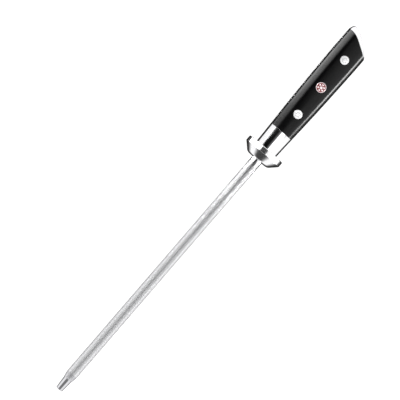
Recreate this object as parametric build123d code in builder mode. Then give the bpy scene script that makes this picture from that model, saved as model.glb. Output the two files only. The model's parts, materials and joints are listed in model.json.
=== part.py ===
from build123d import *
import math
import os

# A knife sharpening steel lying on its side, in millimetres, +Z up.
# The rod runs along X with its tip toward -X. The handle's broad faces look up and down,
# and its longer corner is on the +Y side. The origin is on the rod's axis, at the guard's
# front face.

# Rod
ROD_LENGTH = 254.0  # 10 inches in front of the guard
ROD_RADIUS = 5.0
SHOULDER_LENGTH = 18.0  # from the tip back to the full diameter
POINT_LENGTH = 11.2  # the smooth cone at the tip
POINT_RADIUS = 3.9  # where the cone meets the shoulder
TIP_RADIUS = 3.1
TIP_ROUNDING = 1.0
SPIGOT_RADIUS = 4.0  # the rod's tail, pressed through the guard into the bolster
SPIGOT_END = 23.0
SEAT_LENGTH = ROD_RADIUS - SPIGOT_RADIUS  # 45 degree seat in the guard's bore

# Finger guard
GUARD_DEPTH = 11.65
GUARD_RADIUS = 17.8
GUARD_FLAT_RADIUS = 10.8  # where the flat front and the cone would meet in a sharp corner
GUARD_CORNER_ROUNDING = 2.5
GUARD_RIM_START = 6.9
GUARD_CHAMFER = 0.4

# Bolster and handle, one outer form: distance along X, width, radius of the crowned face
HANDLE_THICKNESS = 17.4
SIDE_RADIUS = 8.3
HANDLE_STATIONS = (
    (GUARD_DEPTH, 21.2, 18.0),
    (30.8, 22.6, 25.0),
    (56.0, 24.5, 60.0),
    (86.0, 26.0, 120.0),
    (113.0, 26.8, 160.0),
    (144.0, 26.6, 160.0),
)
BOLSTER_END = 30.8

# The slanted ends in plan: furthest X, where along Y that is, radius of the arc that leads
# there, and the slant in degrees of the straight line before the arc
SCALE_BUTT = (133.45, 14.5, 24.0, 30.5)
CAP_BUTT = (138.0, 13.5, 19.7, 38.7)
END_CAP_ROUNDING = 0.5

# Tang
TANG_THICKNESS = 3.0
TENON_WIDTH = 12.0
FRONT_TENON_LENGTH = 6.0  # into the bolster
REAR_TENON_LENGTH = 1.5  # into the end cap
TENON_ROOT = 1.0  # how far the front tenon's block reaches back into the tang, so that they join

# Rivets: a head and sleeve from above; from below a head and a pin, whose end shows on top
RIVET_PLACES = {"guard": 50.5, "butt": 110.1}
RIVET_HEAD_RADIUS = 3.8
RIVET_HEAD_DEPTH = 1.8
RIVET_SLEEVE_RADIUS = 2.5
RIVET_PIN_RADIUS = 1.85
RIVET_SLEEVE_END = -5.5

# Mosaic pin between the rivets
MOSAIC_PLACE = 80.1
MOSAIC_RADIUS = 4.4
MOSAIC_WALL = 0.6
MOSAIC_RODS = 6
MOSAIC_ROD_RADIUS = 0.85
MOSAIC_ROD_CIRCLE = 2.55
MOSAIC_CENTRE_RADIUS = 1.3

HALF_THICKNESS = HANDLE_THICKNESS / 2
HALF_TANG = TANG_THICKNESS / 2
ROUND_THE_ROD = Plane.XY  # profiles here are turned about X

os.makedirs("parts", exist_ok=True)


def save(name, part):
    """Label a finished piece and write its STEP file."""
    part.label = name
    export_step(part, f"parts/{name}.step")


def across(x):
    """The plane across the handle at x, with the sketch's own X along +Y."""
    return Plane(origin=(x, 0, 0), x_dir=(0, 1, 0), z_dir=(1, 0, 0))


def handle_form():
    """The bolster, the handle and the end cap as one lofted body, a little too long."""
    with BuildPart() as form:
        for x, width, crown in HANDLE_STATIONS:
            # the crowned face and the rounded side share a tangent where they meet
            lean = math.asin((width / 2 - SIDE_RADIUS) / (crown - SIDE_RADIUS))
            edge = HALF_THICKNESS - crown + (crown - SIDE_RADIUS) * math.cos(lean)
            face_y = crown * math.sin(lean)
            face_z = edge + SIDE_RADIUS * math.cos(lean)
            middle = (math.pi / 2 - lean) / 2
            side_y = width / 2 - SIDE_RADIUS + SIDE_RADIUS * math.cos(middle)
            side_z = edge + SIDE_RADIUS * math.sin(middle)
            with BuildSketch(across(x)):
                with BuildLine():
                    ThreePointArc((-face_y, face_z), (0, HALF_THICKNESS), (face_y, face_z))
                    ThreePointArc((face_y, face_z), (side_y, side_z), (width / 2, edge))
                    Line((width / 2, edge), (width / 2, -edge))
                    ThreePointArc((width / 2, -edge), (side_y, -side_z), (face_y, -face_z))
                    ThreePointArc((face_y, -face_z), (0, -HALF_THICKNESS), (-face_y, -face_z))
                    ThreePointArc((-face_y, -face_z), (-side_y, -side_z), (-width / 2, -edge))
                    Line((-width / 2, -edge), (-width / 2, edge))
                    ThreePointArc((-width / 2, edge), (-side_y, side_z), (-face_y, face_z))
                make_face()
        loft()
    return form.part


HANDLE_FORM = handle_form()

# Rod: a plain cylinder with a ground tip; its tail is the spigot
with BuildPart() as rod:
    with BuildSketch(ROUND_THE_ROD):
        with BuildLine():
            tip_x = -ROD_LENGTH
            point_x = tip_x + POINT_LENGTH
            shoulder_x = tip_x + SHOULDER_LENGTH
            Line((tip_x, 0), (tip_x, TIP_RADIUS - TIP_ROUNDING))
            rounding = TangentArc(
                (tip_x, TIP_RADIUS - TIP_ROUNDING),
                (tip_x + TIP_ROUNDING, TIP_RADIUS),
                tangent=(0, 1),
            )
            Line(rounding @ 1, (point_x, POINT_RADIUS))
            TangentArc((shoulder_x, ROD_RADIUS), (point_x, POINT_RADIUS), tangent=(-1, 0))
            Polyline(
                (shoulder_x, ROD_RADIUS),
                (0, ROD_RADIUS),
                (SEAT_LENGTH, SPIGOT_RADIUS),
                (SPIGOT_END, SPIGOT_RADIUS),
                (SPIGOT_END, 0),
                (tip_x, 0),
            )
        make_face()
    revolve(axis=Axis.X)
save("rod", rod.part)

# Finger guard: turned, flat in front, rounded into a cone, straight rim, flat back
with BuildPart() as finger_guard:
    with BuildSketch(ROUND_THE_ROD):
        with BuildLine():
            FilletPolyline(
                (0, ROD_RADIUS),
                (0, GUARD_FLAT_RADIUS),
                (GUARD_RIM_START, GUARD_RADIUS),
                radius=GUARD_CORNER_ROUNDING,
            )
            Polyline(
                (GUARD_RIM_START, GUARD_RADIUS),
                (GUARD_DEPTH - GUARD_CHAMFER, GUARD_RADIUS),
                (GUARD_DEPTH, GUARD_RADIUS - GUARD_CHAMFER),
                (GUARD_DEPTH, SPIGOT_RADIUS),
                (SEAT_LENGTH, SPIGOT_RADIUS),
                (0, ROD_RADIUS),
            )
        make_face()
    revolve(axis=Axis.X)
save("finger_guard", finger_guard.part)

# Bolster: bored for the rod's spigot, slotted for the tang's front tenon
with BuildPart() as bolster:
    add(HANDLE_FORM)
    split(bisect_by=Plane.YZ.offset(BOLSTER_END), keep=Keep.BOTTOM)
    with BuildSketch(across(GUARD_DEPTH)):
        Circle(SPIGOT_RADIUS)
    extrude(amount=SPIGOT_END - GUARD_DEPTH, mode=Mode.SUBTRACT)
    with BuildSketch(across(BOLSTER_END)):
        Rectangle(TENON_WIDTH, TANG_THICKNESS)
    extrude(amount=-FRONT_TENON_LENGTH, mode=Mode.SUBTRACT)
save("bolster", bolster.part)


def up_to_butt(butt, further=0.0):
    """A block that holds the whole handle up to a slanted end, or to that much further."""
    end_x, end_y, radius, slant = butt
    end_x += further
    turn = math.radians(slant)
    bend = (end_x - radius * (1 - math.cos(turn)), end_y - radius * math.sin(turn))
    corner_x = bend[0] - (bend[1] + HANDLE_THICKNESS) * math.tan(turn)
    with BuildPart() as block:
        with BuildSketch(Plane.XY):
            with BuildLine():
                Line((corner_x, -HANDLE_THICKNESS), bend)
                TangentArc(bend, (end_x, end_y), tangent=(math.sin(turn), math.cos(turn)))
                Polyline(
                    (end_x, end_y),
                    (end_x, HANDLE_THICKNESS),
                    (0, HANDLE_THICKNESS),
                    (0, -HANDLE_THICKNESS),
                    (corner_x, -HANDLE_THICKNESS),
                )
            make_face()
        extrude(amount=HANDLE_THICKNESS, both=True)
    return block.part


# Tang: the full outline of the handle, with a tenon at each end and three holes
with BuildPart() as tang:
    add(HANDLE_FORM)
    split(bisect_by=Plane.YZ.offset(BOLSTER_END), keep=Keep.TOP)
    add(up_to_butt(SCALE_BUTT), mode=Mode.INTERSECT)
    with BuildSketch(across(BOLSTER_END - FRONT_TENON_LENGTH)):
        Rectangle(TENON_WIDTH, TANG_THICKNESS)
    extrude(amount=FRONT_TENON_LENGTH + TENON_ROOT)
    with BuildSketch(across(MOSAIC_PLACE)):
        Rectangle(TENON_WIDTH, TANG_THICKNESS)
    extrude(amount=SCALE_BUTT[0] + REAR_TENON_LENGTH - MOSAIC_PLACE)
    add(up_to_butt(SCALE_BUTT, REAR_TENON_LENGTH), mode=Mode.INTERSECT)
    split(bisect_by=Plane.XY.offset(HALF_TANG), keep=Keep.BOTTOM)
    split(bisect_by=Plane.XY.offset(-HALF_TANG), keep=Keep.TOP)
    with Locations((MOSAIC_PLACE, 0, HALF_TANG)):
        Hole(radius=MOSAIC_RADIUS)
    for place in RIVET_PLACES.values():
        with Locations((place, 0, HALF_TANG)):
            Hole(radius=RIVET_SLEEVE_RADIUS)
save("tang", tang.part)

# End cap: a polished plate behind the tang and both scales
with BuildPart() as end_cap:
    add(HANDLE_FORM)
    split(bisect_by=Plane.YZ.offset(MOSAIC_PLACE), keep=Keep.TOP)
    add(up_to_butt(CAP_BUTT), mode=Mode.INTERSECT)
    slant = end_cap.faces().filter_by(GeomType.PLANE).sort_by(Axis.X)[-1]
    bend = end_cap.faces().filter_by(GeomType.CYLINDER)[0]
    rim = (slant.edges() + bend.edges()).filter_by(GeomType.BSPLINE)  # not the fold between them
    fillet(rim, radius=END_CAP_ROUNDING)
    add(up_to_butt(SCALE_BUTT), mode=Mode.SUBTRACT)
    add(tang.part, mode=Mode.SUBTRACT)
save("end_cap", end_cap.part)

# Scales: two slabs, drilled and counterbored for the rivets, drilled for the mosaic pin
with BuildPart() as upper_scale:
    add(HANDLE_FORM)
    split(bisect_by=Plane.YZ.offset(BOLSTER_END), keep=Keep.TOP)
    add(up_to_butt(SCALE_BUTT), mode=Mode.INTERSECT)
    split(bisect_by=Plane.XY.offset(HALF_TANG), keep=Keep.TOP)
    with Locations((MOSAIC_PLACE, 0, HALF_THICKNESS)):
        Hole(radius=MOSAIC_RADIUS)
    for place in RIVET_PLACES.values():
        with Locations((place, 0, HALF_THICKNESS)):
            CounterBoreHole(RIVET_SLEEVE_RADIUS, RIVET_HEAD_RADIUS, RIVET_HEAD_DEPTH)
save("upper_scale", upper_scale.part)

with BuildPart() as lower_scale:
    mirror(upper_scale.part, about=Plane.XY)
save("lower_scale", lower_scale.part)

# Rivets: the heads are ground flush with the scales' crowned faces
HEAD_SEAT = HALF_THICKNESS - RIVET_HEAD_DEPTH
for end, place in RIVET_PLACES.items():
    with BuildPart() as rivet_sleeve:
        with BuildSketch(Plane.XY.offset(HEAD_SEAT)):
            with Locations((place, 0)):
                Circle(RIVET_HEAD_RADIUS)
        extrude(amount=RIVET_HEAD_DEPTH)
        with BuildSketch(Plane.XY.offset(RIVET_SLEEVE_END)):
            with Locations((place, 0)):
                Circle(RIVET_SLEEVE_RADIUS)
        extrude(amount=HEAD_SEAT - RIVET_SLEEVE_END)
        with BuildSketch(Plane.XY.offset(RIVET_SLEEVE_END)):
            with Locations((place, 0)):
                Circle(RIVET_PIN_RADIUS)
        extrude(amount=HALF_THICKNESS - RIVET_SLEEVE_END, mode=Mode.SUBTRACT)
        add(HANDLE_FORM, mode=Mode.INTERSECT)
    save(f"{end}_rivet_sleeve", rivet_sleeve.part)

    with BuildPart() as rivet_pin:
        with BuildSketch(Plane.XY.offset(-HALF_THICKNESS)):
            with Locations((place, 0)):
                Circle(RIVET_HEAD_RADIUS)
        extrude(amount=RIVET_HEAD_DEPTH)
        with BuildSketch(Plane.XY.offset(-HEAD_SEAT)):
            with Locations((place, 0)):
                Circle(RIVET_PIN_RADIUS)
        extrude(amount=HEAD_SEAT + HALF_THICKNESS)
        add(HANDLE_FORM, mode=Mode.INTERSECT)
    save(f"{end}_rivet_pin", rivet_pin.part)

# Mosaic pin: a steel sleeve filled with resin, with small rods round a thicker one
with BuildPart() as mosaic_sleeve:
    with BuildSketch(Plane.XY):
        with Locations((MOSAIC_PLACE, 0)):
            Circle(MOSAIC_RADIUS)
            Circle(MOSAIC_RADIUS - MOSAIC_WALL, mode=Mode.SUBTRACT)
    extrude(amount=HANDLE_THICKNESS, both=True)
    add(HANDLE_FORM, mode=Mode.INTERSECT)
save("mosaic_sleeve", mosaic_sleeve.part)

with BuildPart() as mosaic_outer_rods:
    with BuildSketch(Plane.XY):
        with Locations((MOSAIC_PLACE, 0)):
            with PolarLocations(MOSAIC_ROD_CIRCLE, MOSAIC_RODS):
                Circle(MOSAIC_ROD_RADIUS)
    extrude(amount=HANDLE_THICKNESS, both=True)
    add(HANDLE_FORM, mode=Mode.INTERSECT)
save("mosaic_outer_rods", mosaic_outer_rods.part)

with BuildPart() as mosaic_centre_rod:
    with BuildSketch(Plane.XY):
        with Locations((MOSAIC_PLACE, 0)):
            Circle(MOSAIC_CENTRE_RADIUS)
    extrude(amount=HANDLE_THICKNESS, both=True)
    add(HANDLE_FORM, mode=Mode.INTERSECT)
save("mosaic_centre_rod", mosaic_centre_rod.part)

with BuildPart() as mosaic_resin:
    with BuildSketch(Plane.XY):
        with Locations((MOSAIC_PLACE, 0)):
            Circle(MOSAIC_RADIUS - MOSAIC_WALL)
            Circle(MOSAIC_CENTRE_RADIUS, mode=Mode.SUBTRACT)
            with PolarLocations(MOSAIC_ROD_CIRCLE, MOSAIC_RODS):
                Circle(MOSAIC_ROD_RADIUS, mode=Mode.SUBTRACT)
    extrude(amount=HANDLE_THICKNESS, both=True)
    add(HANDLE_FORM, mode=Mode.INTERSECT)
save("mosaic_resin", mosaic_resin.part)
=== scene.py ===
import json
import math

import bmesh
import bpy
from mathutils import Matrix, Vector


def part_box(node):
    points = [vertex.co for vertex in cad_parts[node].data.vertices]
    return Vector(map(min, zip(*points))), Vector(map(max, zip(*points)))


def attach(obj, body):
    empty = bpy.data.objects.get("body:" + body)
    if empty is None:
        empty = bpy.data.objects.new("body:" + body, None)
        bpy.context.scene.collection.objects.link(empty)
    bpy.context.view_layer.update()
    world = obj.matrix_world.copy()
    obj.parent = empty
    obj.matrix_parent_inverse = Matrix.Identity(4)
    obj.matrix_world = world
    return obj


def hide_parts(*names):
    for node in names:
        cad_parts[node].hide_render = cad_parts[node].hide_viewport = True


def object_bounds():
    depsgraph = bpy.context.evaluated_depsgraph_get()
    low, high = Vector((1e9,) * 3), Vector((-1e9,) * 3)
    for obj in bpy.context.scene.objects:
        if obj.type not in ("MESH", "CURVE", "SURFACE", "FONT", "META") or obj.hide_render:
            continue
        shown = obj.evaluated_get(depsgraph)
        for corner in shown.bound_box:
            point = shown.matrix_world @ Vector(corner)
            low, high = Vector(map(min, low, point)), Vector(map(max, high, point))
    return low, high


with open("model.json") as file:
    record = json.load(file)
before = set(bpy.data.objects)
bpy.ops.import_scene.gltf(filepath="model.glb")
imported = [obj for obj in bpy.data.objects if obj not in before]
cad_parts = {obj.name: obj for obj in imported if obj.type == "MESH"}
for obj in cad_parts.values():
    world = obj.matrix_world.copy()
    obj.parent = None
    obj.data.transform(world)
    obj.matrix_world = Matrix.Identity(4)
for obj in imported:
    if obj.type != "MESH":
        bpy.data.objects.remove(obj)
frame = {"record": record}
cad_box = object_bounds()

# ---------------------------------------------------------------------------
# Sizes, in metres. Places come from the frame; the rest is named here.
# ---------------------------------------------------------------------------

MM = 0.001
MICRON = 0.000001

mounts = {mount["name"]: mount for mount in frame["record"]["mounts"]}
rod_low, rod_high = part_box("rod")
guard_low, guard_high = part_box("finger_guard")
bolster_low, bolster_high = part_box("bolster")
scale_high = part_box("upper_scale")[1]
tang_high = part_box("tang")[1]

# Rod
ROD_RADIUS = mounts["rod"]["dims"]["r_mm"] * MM
TIP = rod_low.x
SHOULDER = -mounts["rod"]["dims"]["length_mm"] * MM
SPIGOT_END = rod_high.x
SPIGOT_RADIUS = 4.0 * MM
SEAT_DEPTH = ROD_RADIUS - SPIGOT_RADIUS
POINT_LENGTH = 11.2 * MM
POINT_RADIUS = 3.9 * MM
POINT_EASE = 0.6 * MM
POINT_EASE_DROP = 0.06 * MM
TIP_RADIUS = 3.1 * MM
TIP_ROUNDING = 1.0 * MM
TIP_STEPS = 8
SWEEP_STEPS = 8
ROD_ROWS = 6
NECK_LENGTH = 6.0 * MM
RIB_COUNT = 90
RIB_STEPS = 8
RIB_DEPTH = 0.045 * MM
RIB_RUN_OUT = 0.8 * MM

# Finger guard
GUARD_FRONT = guard_low.x
GUARD_BACK = guard_high.x
GUARD_RADIUS = guard_high.z
GUARD_FLAT_RADIUS = 10.8 * MM
GUARD_CORNER = 4.5 * MM
GUARD_RIM_START = GUARD_FRONT + 6.9 * MM
GUARD_CHAMFER = 0.4 * MM
GUARD_BORE_GAP = 0.05 * MM
GUARD_EASE = 0.05 * MM
GUARD_CORNER_STEPS = 12

# Bolster and handle: place along X, width and crown radius, as stations of one form
WIDTH, CROWN = 1, 2
STATIONS = (
    (11.65 * MM, 21.2 * MM, 18.0 * MM),
    (30.8 * MM, 22.6 * MM, 25.0 * MM),
    (56.0 * MM, 24.5 * MM, 60.0 * MM),
    (86.0 * MM, 26.0 * MM, 120.0 * MM),
    (113.0 * MM, 26.8 * MM, 160.0 * MM),
    (144.0 * MM, 26.6 * MM, 160.0 * MM),
)
SIDE_RADIUS = 8.3 * MM
SIDE_STEPS = 16
CROWN_STEPS = 12
HALF_THICKNESS = scale_high.z
HALF_TANG = tang_high.z
BOLSTER_FRONT = bolster_low.x
BOLSTER_END = bolster_high.x
SEAM = 0.12 * MM
TANG_EASE = 0.08 * MM
BOLSTER_ROWS = 14
HANDLE_ROWS = 44
SCALE_FLOOR_STEPS = 6

# The slanted ends in plan: furthest X, where along Y that is, radius of the arc that leads
# there, and the slant of the straight line before the arc
SCALE_BUTT = (133.45 * MM, 14.5 * MM, 24.0 * MM, math.radians(30.5))
CAP_BUTT = (138.0 * MM, 13.5 * MM, 19.7 * MM, math.radians(38.7))

# The cap's face draws in by its pillow: a share of it evenly from the seam, the rest in a
# round toward the rim
CAP_PILLOW = 2.2 * MM
CAP_EVEN_SHARE = 0.45
CAP_ROW_SHARES = (0.0, 0.08, 0.2, 0.35, 0.5, 0.64, 0.76, 0.86, 0.93, 0.975, 1.0)
CAP_FACE_ROWS = 12

# How often a point on a slanted row is worked out again until it settles
SETTLING_ROUNDS = 5

# Rivets and mosaic pin
RIVET_HEAD_RADIUS = 3.8 * MM
RIVET_HEAD_DEPTH = 1.8 * MM
RIVET_SLEEVE_RADIUS = 2.5 * MM
RIVET_PIN_RADIUS = 1.85 * MM
RIVET_OVERLAP = 5.5 * MM
HEAD_EASE = 0.09 * MM
HEAD_DOME = 0.01 * MM
HEAD_STEPS = 6
MOSAIC_RADIUS = 4.4 * MM
MOSAIC_WALL = 0.6 * MM
MOSAIC_SUNK = 0.02 * MM
MOSAIC_EASE = 0.08 * MM
RESIN_SUNK = 0.03 * MM
RESIN_STEPS = 4
MOSAIC_RODS = 6
MOSAIC_ROD_RADIUS = 0.85 * MM
MOSAIC_ROD_CIRCLE = 2.55 * MM
MOSAIC_CENTRE_RADIUS = 1.3 * MM
HOLE_CLEARANCE = 0.03 * MM
HAIRLINE = 0.02 * MM

# Edges that turn by more than this stay crisp, and points nearer than this are one
SHARP_EDGE = math.radians(28)
SAME_POINT = 0.001 * MM

# The viewer, and the studio with them, leans this far from straight above toward +Y
VIEW_LEAN = math.radians(7.9)


# ---------------------------------------------------------------------------
# Making meshes
# ---------------------------------------------------------------------------

def object_from(bm, name):
    """Turns a bmesh into an object at the origin."""
    mesh = bpy.data.meshes.new(name)
    bm.to_mesh(mesh)
    bm.free()
    made = bpy.data.objects.new(name, mesh)
    bpy.context.scene.collection.objects.link(made)
    return made


def piece_from(bm, name, material, replaces):
    """Turns a bmesh into a smooth piece that rides on the steel and stands for its CAD node."""
    bmesh.ops.recalc_face_normals(bm, faces=bm.faces)
    piece = object_from(bm, name)
    piece.data.shade_smooth()
    piece.data.set_sharp_from_angle(angle=SHARP_EDGE)
    piece.data.materials.append(material)
    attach(piece, "root")
    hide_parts(replaces)
    return piece


def shade_evenly(piece):
    """Even shading on the flat faces, beside eased edges."""
    even = piece.modifiers.new("even_shading", "WEIGHTED_NORMAL")
    even.keep_sharp = True


def soften_edges(piece, width, angle):
    """Small rounded edges where two faces turn by more than angle, with even shading."""
    bevel = piece.modifiers.new("eased_edges", "BEVEL")
    bevel.width = width
    bevel.segments = 2
    bevel.limit_method = "ANGLE"
    bevel.angle_limit = math.radians(angle)
    shade_evenly(piece)


def turned(outline, axis, centre=(0, 0, 0), *, steps, closed=False):
    """A bmesh turned about an axis through centre; outline gives (along, radius) pairs."""
    bm = bmesh.new()
    along = Vector(axis)
    out = Vector((0, 0, 1)) if abs(along.z) < 0.5 else Vector((1, 0, 0))
    start = Vector(centre)
    verts = [bm.verts.new(start + along * a + out * r) for a, r in outline]
    edges = [bm.edges.new(pair) for pair in zip(verts, verts[1:])]
    if closed:
        edges.append(bm.edges.new((verts[-1], verts[0])))
    bmesh.ops.spin(
        bm,
        geom=verts + edges,
        cent=start,
        axis=along,
        dvec=(0, 0, 0),
        angle=math.tau,
        steps=steps,
        use_merge=True,
        use_duplicate=False,
    )
    bmesh.ops.remove_doubles(bm, verts=bm.verts, dist=SAME_POINT)
    return bm


def arc(centre, radius, start, end, count):
    """Points on an arc, with angles in degrees from the along direction."""
    angles = [math.radians(start + (end - start) * i / count) for i in range(count + 1)]
    return [(centre[0] + radius * math.cos(a), centre[1] + radius * math.sin(a)) for a in angles]


def skin(rows):
    """A grid warped so that each row of it lies on one row of points."""
    bm = bmesh.new()
    across, along = len(rows[0]) - 1, len(rows) - 1
    bmesh.ops.create_grid(bm, x_segments=across, y_segments=along, size=0.5)
    for vert in bm.verts:
        row = rows[round((vert.co.y + 0.5) * along)]
        vert.co = row[round((vert.co.x + 0.5) * across)]
    bmesh.ops.remove_doubles(bm, verts=bm.verts, dist=SAME_POINT)
    open_edges = [edge for edge in bm.edges if edge.is_boundary]
    bmesh.ops.holes_fill(bm, edges=open_edges, sides=0)
    return bm


# ---------------------------------------------------------------------------
# The form of the bolster and handle
# ---------------------------------------------------------------------------

def between(x, column):
    """Smooth interpolation of a column of STATIONS at x."""
    i = 0
    while i < len(STATIONS) - 2 and x > STATIONS[i + 1][0]:
        i += 1
    x0, x1 = STATIONS[i][0], STATIONS[i + 1][0]
    v0, v1 = STATIONS[i][column], STATIONS[i + 1][column]
    before = STATIONS[max(i - 1, 0)]
    after = STATIONS[min(i + 2, len(STATIONS) - 1)]
    slope0 = (v1 - before[column]) / (x1 - before[0])
    slope1 = (after[column] - v0) / (after[0] - x0)
    t = (x - x0) / (x1 - x0)
    span = x1 - x0
    return (
        (2 * t**3 - 3 * t**2 + 1) * v0
        + (t**3 - 2 * t**2 + t) * span * slope0
        + (3 * t**2 - 2 * t**3) * v1
        + (t**3 - t**2) * span * slope1
    )


def upper_outline(x, foot=0.0, inset=0.0):
    """(y, z) points over the section's upper half at x, from +Y to -Y, from height foot up."""
    half_width = between(x, WIDTH) / 2 - inset
    crown = between(x, CROWN) - inset
    side = SIDE_RADIUS - inset
    lean = math.asin((half_width - side) / (crown - side))
    edge = HALF_THICKNESS - inset - crown + (crown - side) * math.cos(lean)
    first = math.asin(max(0.0, foot - edge) / side)
    last = math.pi / 2 - lean
    corner = []
    if foot < edge:
        corner.append((half_width, foot))
    for i in range(SIDE_STEPS + 1):
        a = first + (last - first) * i / SIDE_STEPS
        corner.append((half_width - side + side * math.cos(a), edge + side * math.sin(a)))
    face = []
    for i in range(1, CROWN_STEPS):
        a = lean - 2 * lean * i / CROWN_STEPS
        face.append((crown * math.sin(a), HALF_THICKNESS - inset - crown + crown * math.cos(a)))
    return corner + face + [(-y, z) for y, z in reversed(corner)]


def end_x(butt, y):
    """Where a slanted end lies at y: a straight line, then an arc to the long corner."""
    furthest, place, radius, slant = butt
    bend = place - radius * math.sin(slant)
    if y < bend:
        return furthest - radius * (1 - math.cos(slant)) - (bend - y) * math.tan(slant)
    return furthest - radius + math.sqrt(radius**2 - min(0.0, y - place) ** 2)


def row_to_butt(share, outline_at):
    """One row of points: that share of the way from the bolster to the scales' slanted end."""
    points = []
    for i in range(len(outline_at(BOLSTER_END))):
        x = BOLSTER_END + share * (end_x(SCALE_BUTT, 0) - BOLSTER_END)
        for _ in range(SETTLING_ROUNDS):
            y, z = outline_at(x)[i]
            x = BOLSTER_END + share * (end_x(SCALE_BUTT, y) - BOLSTER_END)
        points.append(Vector((x, y, z)))
    return points


def closed_section(x, inset=0.0):
    """(y, z) points all the way round the section at x; the last repeats the first."""
    upper = upper_outline(x, inset=inset)
    lower = [(y, -z) for y, z in reversed(upper)]
    return upper + lower[1:]


def tang_section(x):
    """(y, z) points all the way round the tang at x; the last repeats the first."""
    reach = upper_outline(x, foot=HALF_TANG)[0][0]
    middle = between(x, WIDTH) / 2
    return [
        (middle, 0.0),
        (reach, HALF_TANG),
        (-reach, HALF_TANG),
        (-middle, 0.0),
        (-reach, -HALF_TANG),
        (reach, -HALF_TANG),
        (middle, 0.0),
    ]


# ---------------------------------------------------------------------------
# Materials
# ---------------------------------------------------------------------------

def node_group(name, inputs, outputs):
    """An empty shader group; inputs and outputs are (name, socket type, default) rows."""
    group = bpy.data.node_groups.new(name, "ShaderNodeTree")
    for label, kind, default in inputs:
        socket = group.interface.new_socket(label, in_out="INPUT", socket_type=kind)
        socket.default_value = default
    for label, kind in outputs:
        group.interface.new_socket(label, in_out="OUTPUT", socket_type=kind)
    return group, group.nodes.new("NodeGroupInput"), group.nodes.new("NodeGroupOutput")


def add(tree, kind, **settings):
    """A node with its settings; a setting that names an input socket sets that socket."""
    node = tree.nodes.new(kind)
    for key, value in settings.items():
        label = key.replace("_", " ").title()
        if hasattr(node, key):
            setattr(node, key, value)
        else:
            node.inputs[label].default_value = value
    return node


def worked(tree, operation, first, second=None):
    """A Math node on one or two sources; a plain number is set on its socket."""
    node = tree.nodes.new("ShaderNodeMath")
    node.operation = operation
    for socket, source in zip(node.inputs, (first, second)):
        if isinstance(source, (int, float)):
            socket.default_value = source
        elif source is not None:
            tree.links.new(source, socket)
    return node.outputs["Value"]


def blended(tree, share, first, second):
    """first where share is 0, second where it is 1."""
    node = tree.nodes.new("ShaderNodeMix")
    tree.links.new(share, node.inputs["Factor"])
    for label, source in (("A", first), ("B", second)):
        if isinstance(source, (int, float)):
            node.inputs[label].default_value = source
        else:
            tree.links.new(source, node.inputs[label])
    return node.outputs["Result"]


def stretched(tree, source, low, high):
    """The values from low to high spread over 0 to 1."""
    node = add(tree, "ShaderNodeMapRange", clamp=True)
    node.inputs["From Min"].default_value = low
    node.inputs["From Max"].default_value = high
    tree.links.new(source, node.inputs["Value"])
    return node.outputs["Result"]


def ranged(tree, source, low, high):
    """A 0 to 1 value spread over low to high."""
    node = add(tree, "ShaderNodeMapRange")
    node.inputs["To Min"].default_value = low
    node.inputs["To Max"].default_value = high
    tree.links.new(source, node.inputs["Value"])
    return node.outputs["Result"]


def clouds(tree, scale, detail, roughness):
    """Soft noise in the piece's own coordinates."""
    where = add(tree, "ShaderNodeTexCoord")
    noise = add(tree, "ShaderNodeTexNoise", scale=scale, detail=detail, roughness=roughness)
    tree.links.new(where.outputs["Object"], noise.inputs["Vector"])
    return noise.outputs["Fac"]


def make_line_group():
    """Fine lines left by polishing: noise drawn out along one direction."""
    group, given, made = node_group(
        "polishing_lines",
        [("Stretch", "NodeSocketVector", (20.0, 2500.0, 2500.0))],
        [("Lines", "NodeSocketFloat")],
    )
    where = add(group, "ShaderNodeTexCoord")
    mapping = add(group, "ShaderNodeMapping")
    noise = add(group, "ShaderNodeTexNoise", scale=1.0, detail=5.0, roughness=0.65)
    group.links.new(where.outputs["Object"], mapping.inputs["Vector"])
    group.links.new(given.outputs["Stretch"], mapping.inputs["Scale"])
    group.links.new(mapping.outputs["Vector"], noise.inputs["Vector"])
    group.links.new(noise.outputs["Fac"], made.inputs["Lines"])
    return group


def make_handling_group():
    """Faint smears where fingers have been: two sizes of soft blotches, as a mask."""
    group, given, made = node_group(
        "handling_smears",
        [("Coverage", "NodeSocketFloat", 0.5)],
        [("Smears", "NodeSocketFloat")],
    )
    broad = clouds(group, scale=70.0, detail=3.0, roughness=0.5)
    close = clouds(group, scale=420.0, detail=4.0, roughness=0.6)
    blotches = stretched(group, worked(group, "MULTIPLY", broad, close), 0.18, 0.42)
    smears = worked(group, "MULTIPLY", blotches, given.outputs["Coverage"])
    group.links.new(smears, made.inputs["Smears"])
    return group


POLISHING_LINES = make_line_group()
HANDLING_SMEARS = make_handling_group()


def new_material(name):
    """A material with its node tree and Principled shader."""
    material = bpy.data.materials.new(name)
    material.use_nodes = True
    tree = material.node_tree
    return material, tree, tree.nodes["Principled BSDF"]


def place_group(tree, group, **values):
    """A shared group placed in a material with its own values."""
    node = tree.nodes.new("ShaderNodeGroup")
    node.node_tree = group
    for key, value in values.items():
        node.inputs[key.title()].default_value = value
    return node


def mixed(tree, factor, first, second):
    """A colour between first and second."""
    node = tree.nodes.new("ShaderNodeMix")
    node.data_type = "RGBA"
    node.inputs["A"].default_value = (*first, 1.0)
    node.inputs["B"].default_value = (*second, 1.0)
    tree.links.new(factor, node.inputs["Factor"])
    return node.outputs["Result"]


def bumped(tree, height, distance, shader):
    """Gives the shader a bump from height."""
    node = tree.nodes.new("ShaderNodeBump")
    node.inputs["Strength"].default_value = 1.0
    node.inputs["Distance"].default_value = distance
    tree.links.new(height, node.inputs["Height"])
    tree.links.new(node.outputs["Normal"], shader.inputs["Normal"])


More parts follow.
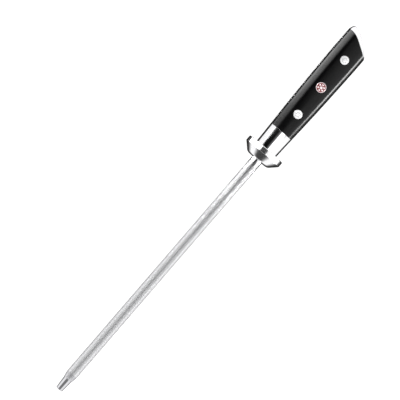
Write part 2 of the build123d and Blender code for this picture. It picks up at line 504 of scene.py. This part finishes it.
def polished_steel(name, stretch, smooth, smeared, line_depth, tint=(0.80, 0.80, 0.81)):
    """Polished steel: fine lines in one direction, faint smears in the gloss."""
    material, tree, shader = new_material(name)
    shader.inputs["Metallic"].default_value = 1.0
    lines = place_group(tree, POLISHING_LINES, stretch=stretch)
    smears = place_group(tree, HANDLING_SMEARS, coverage=1.0)
    darker = tuple(0.94 * channel for channel in tint)
    tree.links.new(mixed(tree, lines.outputs["Lines"], darker, tint), shader.inputs["Base Color"])
    gloss = ranged(tree, smears.outputs["Smears"], smooth, smeared)
    tree.links.new(gloss, shader.inputs["Roughness"])
    bumped(tree, lines.outputs["Lines"], line_depth, shader)
    return material


def ribbed_steel():
    """The rod: chromed ribs with painted shade darkening the grooves between them, polished where
    there are none.
    """
    material, tree, shader = new_material("ribbed_steel")
    shader.inputs["Metallic"].default_value = 1.0
    lines = place_group(tree, POLISHING_LINES, stretch=(60.0, 3000.0, 3000.0))
    smears = place_group(tree, HANDLING_SMEARS, coverage=1.0)
    where = add(tree, "ShaderNodeTexCoord")
    split = add(tree, "ShaderNodeSeparateXYZ")
    flat = add(tree, "ShaderNodeCombineXYZ")
    radius = add(tree, "ShaderNodeVectorMath", operation="LENGTH")
    tree.links.new(where.outputs["Object"], split.inputs["Vector"])
    tree.links.new(split.outputs["Y"], flat.inputs["Y"])
    tree.links.new(split.outputs["Z"], flat.inputs["Z"])
    tree.links.new(flat.outputs["Vector"], radius.inputs[0])
    # painted shade: the colour darkens from each rib's crest down to the groove floor, where
    # shade falls
    floor_radius, crest_radius = ROD_RADIUS - RIB_DEPTH, ROD_RADIUS - 0.2 * RIB_DEPTH
    painted_groove_shade = stretched(tree, radius.outputs["Value"], floor_radius, crest_radius)
    tree.links.new(
        mixed(tree, painted_groove_shade, (0.62, 0.62, 0.64), (0.84, 0.84, 0.85)), shader.inputs["Base Color"]
    )
    gloss = ranged(tree, smears.outputs["Smears"], 0.06, 0.11)
    tree.links.new(gloss, shader.inputs["Roughness"])
    bumped(tree, lines.outputs["Lines"], 2.0 * MICRON, shader)
    return material


def moulded_black():
    """The scales: dense black plastic, buffed, with a fine grain and faint clouding."""
    material, tree, shader = new_material("moulded_black_plastic")
    grain = clouds(tree, scale=2600.0, detail=4.0, roughness=0.6)
    cloud = clouds(tree, scale=160.0, detail=3.0, roughness=0.5)
    smears = place_group(tree, HANDLING_SMEARS, coverage=1.0)
    lines = place_group(tree, POLISHING_LINES, stretch=(25.0, 1400.0, 1400.0))
    tree.links.new(
        mixed(tree, cloud, (0.0010, 0.0010, 0.0011), (0.0024, 0.0024, 0.0026)),
        shader.inputs["Base Color"],
    )
    gloss = ranged(tree, smears.outputs["Smears"], 0.17, 0.24)
    tree.links.new(gloss, shader.inputs["Roughness"])
    shader.inputs["IOR"].default_value = 1.45
    shader.inputs["Specular IOR Level"].default_value = 0.24
    bumped(tree, worked(tree, "ADD", grain, lines.outputs["Lines"]), 2.5 * MICRON, shader)
    return material


def red_resin():
    """The mosaic pin's resin: deep red, slightly cloudy, polished."""
    material, tree, shader = new_material("deep_red_resin")
    cloud = clouds(tree, scale=900.0, detail=4.0, roughness=0.6)
    tree.links.new(
        mixed(tree, cloud, (0.10, 0.006, 0.008), (0.24, 0.016, 0.020)),
        shader.inputs["Base Color"],
    )
    gloss = ranged(tree, cloud, 0.12, 0.26)
    tree.links.new(gloss, shader.inputs["Roughness"])
    shader.inputs["Coat Weight"].default_value = 0.6
    shader.inputs["Coat Roughness"].default_value = 0.08
    bumped(tree, cloud, 4.0 * MICRON, shader)
    return material


RIBBED_STEEL = ribbed_steel()
GUARD_STEEL = polished_steel(
    "turned_guard_steel", (2600.0, 90.0, 90.0), 0.13, 0.20, 1.0 * MICRON
)
BOLSTER_STEEL = polished_steel(
    "polished_bolster_steel", (25.0, 1800.0, 1800.0), 0.04, 0.08, 0.6 * MICRON
)
CAP_STEEL = polished_steel(
    "polished_cap_steel", (900.0, 900.0, 60.0), 0.05, 0.10, 1.0 * MICRON
)
TANG_STEEL = polished_steel(
    "satin_tang_steel", (30.0, 2400.0, 2400.0), 0.22, 0.32, 3.0 * MICRON, (0.72, 0.72, 0.73)
)
RIVET_STEEL = polished_steel(
    "polished_rivet_steel", (1300.0, 160.0, 400.0), 0.08, 0.16, 1.4 * MICRON
)
MOSAIC_STEEL = polished_steel(
    "polished_mosaic_steel", (1300.0, 300.0, 400.0), 0.10, 0.18, 1.4 * MICRON, (0.83, 0.71, 0.72)
)
BLACK_PLASTIC = moulded_black()
RED_RESIN = red_resin()


# ---------------------------------------------------------------------------
# Pieces
# ---------------------------------------------------------------------------

def make_rod():
    """The ribbed rod with its smooth neck, its shoulder, its ground point and its spigot."""
    ribs_from = GUARD_FRONT - NECK_LENGTH
    point = TIP + POINT_LENGTH
    outline = [(TIP, 0.0)]
    corner = (TIP + TIP_ROUNDING, TIP_RADIUS - TIP_ROUNDING)
    outline += arc(corner, TIP_ROUNDING, 180, 90, TIP_STEPS)
    outline += [(point - POINT_EASE, POINT_RADIUS - POINT_EASE_DROP), (point, POINT_RADIUS)]
    # a long shallow sweep from the point up to the shoulder
    drop = ROD_RADIUS - POINT_RADIUS
    run = SHOULDER - point
    sweep = (run**2 + drop**2) / (2 * drop)
    for i in range(1, SWEEP_STEPS + 1):
        x = point + run * i / SWEEP_STEPS
        fall = sweep - math.sqrt(sweep**2 - (SHOULDER - x) ** 2)
        outline.append((x, ROD_RADIUS - fall))
    for i in range(1, ROD_ROWS):
        outline.append((SHOULDER + (ribs_from - SHOULDER) * i / ROD_ROWS, ROD_RADIUS))
    outline += [(ribs_from - RIB_RUN_OUT, ROD_RADIUS), (ribs_from, ROD_RADIUS)]
    outline += [(GUARD_FRONT, ROD_RADIUS), (GUARD_FRONT + SEAT_DEPTH, SPIGOT_RADIUS)]
    outline += [(SPIGOT_END, SPIGOT_RADIUS), (SPIGOT_END, 0.0)]
    bm = turned(outline, (1, 0, 0), steps=RIB_COUNT * RIB_STEPS)
    for vert in bm.verts:
        out = Vector((0, vert.co.y, vert.co.z))
        fade_front = (ribs_from - vert.co.x) / RIB_RUN_OUT
        fade_tip = (vert.co.x - point) / RIB_RUN_OUT
        fade = max(0.0, min(1.0, fade_front, fade_tip))
        if out.length > POINT_RADIUS and fade > 0:
            turn = math.atan2(vert.co.y, vert.co.z)
            groove = 0.5 * RIB_DEPTH * (1 - math.cos(turn * RIB_COUNT))
            vert.co -= out.normalized() * groove * fade
    piece_from(bm, "ribbed_rod", RIBBED_STEEL, "rod")


def make_guard():
    """The domed finger guard, turned in one piece."""
    slope = math.atan2(GUARD_RADIUS - GUARD_FLAT_RADIUS, GUARD_RIM_START - GUARD_FRONT)
    setback = GUARD_CORNER * math.tan((math.pi / 2 - slope) / 2)
    corner = (GUARD_FRONT + GUARD_CORNER, GUARD_FLAT_RADIUS - setback)
    outline = [(GUARD_FRONT, ROD_RADIUS + GUARD_BORE_GAP)]
    outline += arc(corner, GUARD_CORNER, 180, 90 + math.degrees(slope), GUARD_CORNER_STEPS)
    outline += [
        (GUARD_RIM_START, GUARD_RADIUS),
        (GUARD_BACK - GUARD_CHAMFER, GUARD_RADIUS),
        (GUARD_BACK, GUARD_RADIUS - GUARD_CHAMFER),
        (GUARD_BACK, SPIGOT_RADIUS),
        (GUARD_FRONT + SEAT_DEPTH, SPIGOT_RADIUS),
    ]
    bm = turned(outline, (1, 0, 0), steps=160, closed=True)
    guard = piece_from(bm, "domed_finger_guard", GUARD_STEEL, "finger_guard")
    soften_edges(guard, GUARD_EASE, angle=20)


def make_bolster():
    """The bolster between guard and handle, with its ends eased."""
    rows = []
    for i in range(BOLSTER_ROWS + 1):
        x = BOLSTER_FRONT + (BOLSTER_END - BOLSTER_FRONT) * i / BOLSTER_ROWS
        rows.append([Vector((x, y, z)) for y, z in closed_section(x)])
    bolster = piece_from(
        skin(rows), "polished_bolster", BOLSTER_STEEL, "bolster"
    )
    soften_edges(bolster, SEAM, angle=50)


def drill(piece, places):
    """Cuts round holes along Z; places are (x, y, radius, low, high) rows."""
    for x, y, radius, low, high in places:
        bm = bmesh.new()
        bmesh.ops.create_cone(
            bm,
            cap_ends=True,
            segments=96,
            radius1=radius,
            radius2=radius,
            depth=high - low,
            matrix=Matrix.Translation((x, y, (low + high) / 2)),
        )
        cutter = object_from(bm, "drill")
        cut = piece.modifiers.new("hole", "BOOLEAN")
        cut.operation = "DIFFERENCE"
        cut.solver = "EXACT"
        cut.object = cutter
        depsgraph = bpy.context.evaluated_depsgraph_get()
        drilled = bpy.data.meshes.new_from_object(piece.evaluated_get(depsgraph))
        piece.modifiers.remove(cut)
        piece.data = drilled
        bpy.data.objects.remove(cutter)


def make_scales():
    """Both scales: the upper one is skinned and drilled, the lower one is its mirror image."""
    rows = []
    steps = SCALE_FLOOR_STEPS
    for i in range(HANDLE_ROWS + 1):
        row = row_to_butt(i / HANDLE_ROWS, lambda x: upper_outline(x, foot=HALF_TANG))
        floor = [row[-1].lerp(row[0], k / steps) for k in range(1, steps + 1)]
        rows.append(row + floor)
    upper = piece_from(
        skin(rows), "upper_handle_scale", BLACK_PLASTIC, "upper_scale"
    )
    head = RIVET_HEAD_RADIUS + HOLE_CLEARANCE
    seat = HALF_THICKNESS - RIVET_HEAD_DEPTH
    holes = [(MOSAIC.x, 0, MOSAIC_RADIUS + HOLE_CLEARANCE, 0, 2 * HALF_THICKNESS)]
    for rivet in RIVETS.values():
        holes.append((rivet.x, 0, head, seat, 2 * HALF_THICKNESS))
        holes.append((rivet.x, 0, RIVET_SLEEVE_RADIUS + HOLE_CLEARANCE, 0, HALF_THICKNESS))
    drill(upper, holes)
    bm = bmesh.new()
    bm.from_mesh(upper.data)
    bmesh.ops.scale(bm, vec=(1, 1, -1), verts=bm.verts)
    lower = piece_from(bm, "lower_handle_scale", BLACK_PLASTIC, "lower_scale")
    for scale in (upper, lower):
        soften_edges(scale, SEAM, angle=40)


def make_tang():
    """The full tang: its ground edge shows as a steel band between the scales."""
    rows = [row_to_butt(i / HANDLE_ROWS, tang_section) for i in range(HANDLE_ROWS + 1)]
    tang = piece_from(skin(rows), "full_tang", TANG_STEEL, "tang")
    soften_edges(tang, TANG_EASE, angle=50)


def make_end_cap():
    """The steel cap on the butt: thin at the belly, thick at the spine, pillowed outside."""
    rows = []
    for share in CAP_ROW_SHARES:
        points = []
        for i in range(len(closed_section(BOLSTER_END))):
            x = end_x(SCALE_BUTT, 0)
            for _ in range(SETTLING_ROUNDS):
                y = closed_section(x)[i][0]
                near, far = end_x(SCALE_BUTT, y), end_x(CAP_BUTT, y)
                x = near + share * (far - near)
            pillow = CAP_PILLOW * (far - near) / (CAP_BUTT[0] - SCALE_BUTT[0])
            rounded = 1 - math.sqrt(1 - share**2)
            drop = pillow * (CAP_EVEN_SHARE * share + (1 - CAP_EVEN_SHARE) * rounded)
            y, z = closed_section(x, drop)[i]
            points.append(Vector((x, y, z)))
        rows.append(points)
    rim = rows[-1]
    for i in range(1, CAP_FACE_ROWS + 1):
        share = 1 - i / CAP_FACE_ROWS
        row = []
        for point in rim:
            y, z = point.y * share, point.z * share
            row.append(Vector((end_x(CAP_BUTT, y), y, z)))
        rows.append(row)
    cap = piece_from(skin(rows), "polished_end_cap", CAP_STEEL, "end_cap")
    soften_edges(cap, SEAM, angle=50)


def head_outline(top, radius, bore=0.0):
    """A ground rivet head from its centre or bore out: nearly flat, with eased edges."""
    outline = []
    if bore:
        outline.append((top - HEAD_EASE, bore))
        bore += HEAD_EASE
    for i in range(HEAD_STEPS + 1):
        r = bore + (radius - HEAD_EASE - bore) * i / HEAD_STEPS
        outline.append((top - HEAD_DOME * (r / radius) ** 2, r))
    edge = outline[-1][0] - HEAD_EASE
    outline.append((edge + 0.3 * HEAD_EASE, radius - 0.3 * HEAD_EASE))
    outline.append((edge, radius))
    return outline


def make_rivets():
    """Each rivet: a headed sleeve from above and a headed pin from below."""
    seat = HALF_THICKNESS - RIVET_HEAD_DEPTH
    for end, centre in RIVETS.items():
        place = (centre.x, 0, 0)
        sleeve = head_outline(HALF_THICKNESS, RIVET_HEAD_RADIUS, RIVET_PIN_RADIUS + HAIRLINE)
        sleeve += [
            (seat, RIVET_HEAD_RADIUS),
            (seat, RIVET_SLEEVE_RADIUS),
            (-RIVET_OVERLAP, RIVET_SLEEVE_RADIUS),
            (-RIVET_OVERLAP, RIVET_PIN_RADIUS + HAIRLINE),
        ]
        bm = turned(sleeve, (0, 0, 1), place, steps=96, closed=True)
        piece = piece_from(
            bm, f"{end}_rivet_head_and_sleeve", RIVET_STEEL, f"{end}_rivet_sleeve"
        )
        shade_evenly(piece)
        pin = head_outline(HALF_THICKNESS, RIVET_HEAD_RADIUS)
        pin += [(seat, RIVET_HEAD_RADIUS), (seat, RIVET_PIN_RADIUS)]
        shown_end = head_outline(HALF_THICKNESS, RIVET_PIN_RADIUS)
        pin += [(-along, r) for along, r in reversed(shown_end)]
        bm = turned(pin, (0, 0, -1), place, steps=96)
        piece = piece_from(
            bm, f"{end}_rivet_head_and_pin", RIVET_STEEL, f"{end}_rivet_pin"
        )
        shade_evenly(piece)


def make_mosaic_pin():
    """The mosaic pin: sleeve, resin a hair lower, small rods round a thicker one."""
    high = HALF_THICKNESS - MOSAIC_SUNK
    ease = MOSAIC_EASE
    inner = MOSAIC_RADIUS - MOSAIC_WALL
    place = (MOSAIC.x, 0, 0)
    tube = [
        (high - ease, inner),
        (high, inner + ease),
        (high, MOSAIC_RADIUS - ease),
        (high - ease, MOSAIC_RADIUS),
        (ease - high, MOSAIC_RADIUS),
        (-high, MOSAIC_RADIUS - ease),
        (-high, inner + ease),
        (ease - high, inner),
    ]
    bm = turned(tube, (0, 0, 1), place, steps=96, closed=True)
    shade_evenly(
        piece_from(bm, "mosaic_pin_sleeve", MOSAIC_STEEL, "mosaic_sleeve")
    )

    fill = high - RESIN_SUNK
    plug = [(fill, inner * i / RESIN_STEPS) for i in range(RESIN_STEPS + 1)]
    plug += [(-along, r) for along, r in reversed(plug)]
    bm = turned(plug, (0, 0, 1), place, steps=96)
    shade_evenly(piece_from(bm, "mosaic_pin_resin", RED_RESIN, "mosaic_resin"))

    def stick(radius):
        top = head_outline(high, radius)
        return top + [(-along, r) for along, r in reversed(top)]

    bm = turned(stick(MOSAIC_CENTRE_RADIUS), (0, 0, 1), place, steps=48)
    shade_evenly(
        piece_from(bm, "mosaic_pin_centre_rod", MOSAIC_STEEL, "mosaic_centre_rod")
    )

    rods = bmesh.new()
    for i in range(MOSAIC_RODS):
        turn = math.tau * i / MOSAIC_RODS
        x = MOSAIC.x + MOSAIC_ROD_CIRCLE * math.cos(turn)
        y = MOSAIC_ROD_CIRCLE * math.sin(turn)
        one = turned(stick(MOSAIC_ROD_RADIUS), (0, 0, 1), (x, y, 0), steps=32)
        mesh = bpy.data.meshes.new("one_rod")
        one.to_mesh(mesh)
        one.free()
        rods.from_mesh(mesh)
        bpy.data.meshes.remove(mesh)
    rods = piece_from(
        rods, "mosaic_pin_outer_rods", MOSAIC_STEEL, "mosaic_outer_rods"
    )
    shade_evenly(rods)


def middle_of(node):
    """The centre of a CAD node's box."""
    low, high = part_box(node)
    return (low + high) / 2


RIVETS = {"guard": middle_of("guard_rivet_sleeve"), "butt": middle_of("butt_rivet_sleeve")}
MOSAIC = middle_of("mosaic_sleeve")

make_rod()
make_guard()
make_bolster()
make_scales()
make_tang()
make_end_cap()
make_rivets()
make_mosaic_pin()


# ---------------------------------------------------------------------------
# Floor, light and camera
# ---------------------------------------------------------------------------

FLOOR_REACH = 20.0
FLOOR_GAP = 0.05 * MM
FLOOR_GLOW = 0.80
FLOOR_GREY = 0.30


def make_floor():
    """A plain pale floor under the steel, bright enough to read as studio white."""
    bm = bmesh.new()
    bmesh.ops.create_grid(bm, x_segments=1, y_segments=1, size=FLOOR_REACH)
    bmesh.ops.translate(bm, verts=bm.verts, vec=(0, 0, cad_box[0].z - FLOOR_GAP))
    floor = object_from(bm, "studio_floor")
    material = bpy.data.materials.new("pale_floor")
    material.use_nodes = True
    tree = material.node_tree
    tree.nodes.clear()
    out = add(tree, "ShaderNodeOutputMaterial")
    glow = add(tree, "ShaderNodeEmission", strength=FLOOR_GLOW)
    matt = add(tree, "ShaderNodeBsdfDiffuse")
    matt.inputs["Color"].default_value = (FLOOR_GREY, FLOOR_GREY, FLOOR_GREY, 1.0)
    both = add(tree, "ShaderNodeAddShader")
    tree.links.new(glow.outputs["Emission"], both.inputs[0])
    tree.links.new(matt.outputs["BSDF"], both.inputs[1])
    tree.links.new(both.outputs["Shader"], out.inputs["Surface"])
    floor.data.materials.append(material)
    floor.visible_glossy = False


# The studio as (degrees round the rod from the viewer toward +Y, brightness): a dark gap at
# the viewer, soft boxes to each side and dark behind. The handle has its own boxes: a bright
# one toward its spine and a narrow lamp toward its belly.
ROD_STUDIO = (
    (-180, 0.03),
    (-140, 0.03),
    (-120, 0.05),
    (-110, 1.2),
    (-42, 1.25),
    (-37, 0.8),
    (-33, 0.15),
    (-28, 0.01),
    (0, 0.0),
    (28, 0.01),
    (33, 0.15),
    (37, 0.8),
    (42, 1.25),
    (104, 1.2),
    (114, 0.05),
    (140, 0.03),
    (180, 0.03),
)
HANDLE_STUDIO = (
    (-180, 0.03),
    (-140, 0.05),
    (-116, 0.30),
    (-108, 1.6),
    (-95, 1.8),
    (-93, 27.0),
    (-77, 27.0),
    (-75, 1.6),
    (-30, 1.6),
    (-18, 1.5),
    (-16, 1.15),
    (-14.5, 0.40),
    (-13, 0.15),
    (-8, 0.05),
    (-2, 0.005),
    (22, 0.003),
    (26, 1.8),
    (45, 6.5),
    (90, 9.5),
    (104, 9.5),
    (114, 0.30),
    (140, 0.05),
    (180, 0.03),
)
RIBS_GAP_BRIGHTNESS = 0.28
NEAR_GUARD_BOOST = 1.0
ENDS_BRIGHTNESS = 1.3
BAND_BRIGHTNESS = 0.22
BAND_HEIGHT = 0.36
STAND_BRIGHTNESS = 0.06
CLOTH_BRIGHTNESS = 0.03
BACKDROP_BRIGHTNESS = 1.05

# Where each change in the studio starts and ends. Most go by how far a direction points
# along +X, BAND_EDGE by how far it is from BAND_HEIGHT, and CLOTH by how far it points away
# from the viewer
HANDLE_BOXES = (0.028, 0.036)
NEAR_GUARD = (0.078, 0.045)
RIBS_GAP = (0.012, -0.012)
BOTH_ENDS = (0.45, 0.75)
BUTT_END = (0.26, 0.42)
BAND_EDGE = (0.08, 0.24)
BAND_STOPS = (0.0, 0.25)
STAND = (-0.88, -0.98)
CLOTH = (0.42, 0.82)


def ramped(tree, source, change, level=1.0):
    """A value that climbs smoothly from 0 to level while source goes through change."""
    node = add(tree, "ShaderNodeMapRange", interpolation_type="SMOOTHSTEP")
    node.inputs["From Min"].default_value = change[0]
    node.inputs["From Max"].default_value = change[1]
    node.inputs["To Max"].default_value = level
    tree.links.new(source, node.inputs["Value"])
    return node.outputs["Result"]


def boxes_from(tree, turn, studio):
    """The brightness of a studio table at an angle round the rod."""
    brightest = max(brightness for _, brightness in studio)
    ramp = add(tree, "ShaderNodeValToRGB")
    stops = ramp.color_ramp.elements
    while len(stops) > 1:
        stops.remove(stops[-1])
    for i, (degrees, brightness) in enumerate(studio):
        place = degrees / 360 + 0.5
        stop = stops[0] if i == 0 else stops.new(place)
        stop.position = place
        level = brightness / brightest
        stop.color = (level, level, level, 1.0)
    tree.links.new(stretched(tree, turn, -math.pi, math.pi), ramp.inputs["Fac"])
    return worked(tree, "MULTIPLY", ramp.outputs["Color"], brightest)


def make_studio():
    """The world: soft boxes for the steel to reflect, and a white backdrop for the camera."""
    world = bpy.data.worlds.new("studio")
    bpy.context.scene.world = world
    world.use_nodes = True
    tree = world.node_tree
    tree.nodes.clear()
    where = add(tree, "ShaderNodeTexCoord")
    lean = add(tree, "ShaderNodeMapping")
    lean.inputs["Rotation"].default_value = (VIEW_LEAN, 0, 0)
    split = add(tree, "ShaderNodeSeparateXYZ")
    tree.links.new(where.outputs["Generated"], lean.inputs["Vector"])
    tree.links.new(lean.outputs["Vector"], split.inputs["Vector"])
    along, across, toward = (split.outputs[axis] for axis in "XYZ")

    # round the rod, and further along round the handle
    turn = worked(tree, "ARCTAN2", across, toward)
    boost = worked(tree, "ADD", ramped(tree, along, NEAR_GUARD, NEAR_GUARD_BOOST), 1.0)
    handle_boxes = worked(tree, "MULTIPLY", boxes_from(tree, turn, HANDLE_STUDIO), boost)
    # the gap is greyer along the ribs than at the smooth neck
    glow = ramped(tree, along, RIBS_GAP, RIBS_GAP_BRIGHTNESS)
    rod_boxes = worked(tree, "MAXIMUM", boxes_from(tree, turn, ROD_STUDIO), glow)
    boxes = blended(tree, ramped(tree, along, HANDLE_BOXES), rod_boxes, handle_boxes)

    # toward both ends the boxes give way to a plain bright surround, with a dimmer band in it
    # above the horizon past the tip
    length = worked(tree, "ABSOLUTE", along)
    surround = worked(
        tree, "MAXIMUM", ramped(tree, length, BOTH_ENDS), ramped(tree, along, BUTT_END)
    )
    above = worked(tree, "ABSOLUTE", worked(tree, "SUBTRACT", toward, BAND_HEIGHT))
    off_band = worked(
        tree, "MAXIMUM", ramped(tree, above, BAND_EDGE), ramped(tree, along, BAND_STOPS)
    )
    ends = blended(tree, off_band, BAND_BRIGHTNESS, ENDS_BRIGHTNESS)
    light = blended(tree, surround, boxes, ends)

    # a dark floor stand just past the tip, and a dark cloth behind
    behind = worked(tree, "MULTIPLY", toward, -1.0)
    light = blended(tree, ramped(tree, along, STAND), light, STAND_BRIGHTNESS)
    light = blended(tree, ramped(tree, behind, CLOTH), light, CLOTH_BRIGHTNESS)

    surroundings = add(tree, "ShaderNodeBackground")
    tree.links.new(light, surroundings.inputs["Strength"])
    surroundings.inputs["Color"].default_value = (1, 1, 1, 1)
    backdrop = add(tree, "ShaderNodeBackground", strength=BACKDROP_BRIGHTNESS)
    backdrop.inputs["Color"].default_value = (1, 1, 1, 1)
    rays = add(tree, "ShaderNodeLightPath")
    pick = add(tree, "ShaderNodeMixShader")
    out = add(tree, "ShaderNodeOutputWorld")
    tree.links.new(rays.outputs["Is Camera Ray"], pick.inputs["Fac"])
    tree.links.new(surroundings.outputs["Background"], pick.inputs[1])
    tree.links.new(backdrop.outputs["Background"], pick.inputs[2])
    tree.links.new(pick.outputs["Shader"], out.inputs["Surface"])


# The camera looks down on the handle's face, rolled so that the tip points lower left
ROLL = math.radians(49.23)
FRAME_WIDTH = 334.9 * MM
LENS = 200.0
SENSOR_WIDTH = 36.0
FAR_CLIP = 100.0
AIM_ALONG = -56.8 * MM
AIM_ACROSS = 14.1 * MM


def make_camera():
    """A long lens, so that the rod keeps its width from guard to tip."""
    data = bpy.data.cameras.new("camera")
    data.lens = LENS
    data.sensor_width = SENSOR_WIDTH
    data.clip_end = FAR_CLIP
    distance = FRAME_WIDTH / SENSOR_WIDTH * LENS
    along = Vector((1, 0, 0))
    spine = Vector((0, math.cos(VIEW_LEAN), -math.sin(VIEW_LEAN)))
    toward = Vector((0, math.sin(VIEW_LEAN), math.cos(VIEW_LEAN)))
    right = along * math.cos(ROLL) - spine * math.sin(ROLL)
    up = along * math.sin(ROLL) + spine * math.cos(ROLL)
    place = along * AIM_ALONG + spine * AIM_ACROSS + toward * distance
    turn = Matrix((right, up, toward)).transposed().to_4x4()
    camera = bpy.data.objects.new("camera", data)
    camera.matrix_world = Matrix.Translation(place) @ turn
    bpy.context.scene.collection.objects.link(camera)
    bpy.context.scene.camera = camera


make_floor()
make_studio()
make_camera()
bpy.context.scene.view_settings.view_transform = "Standard"
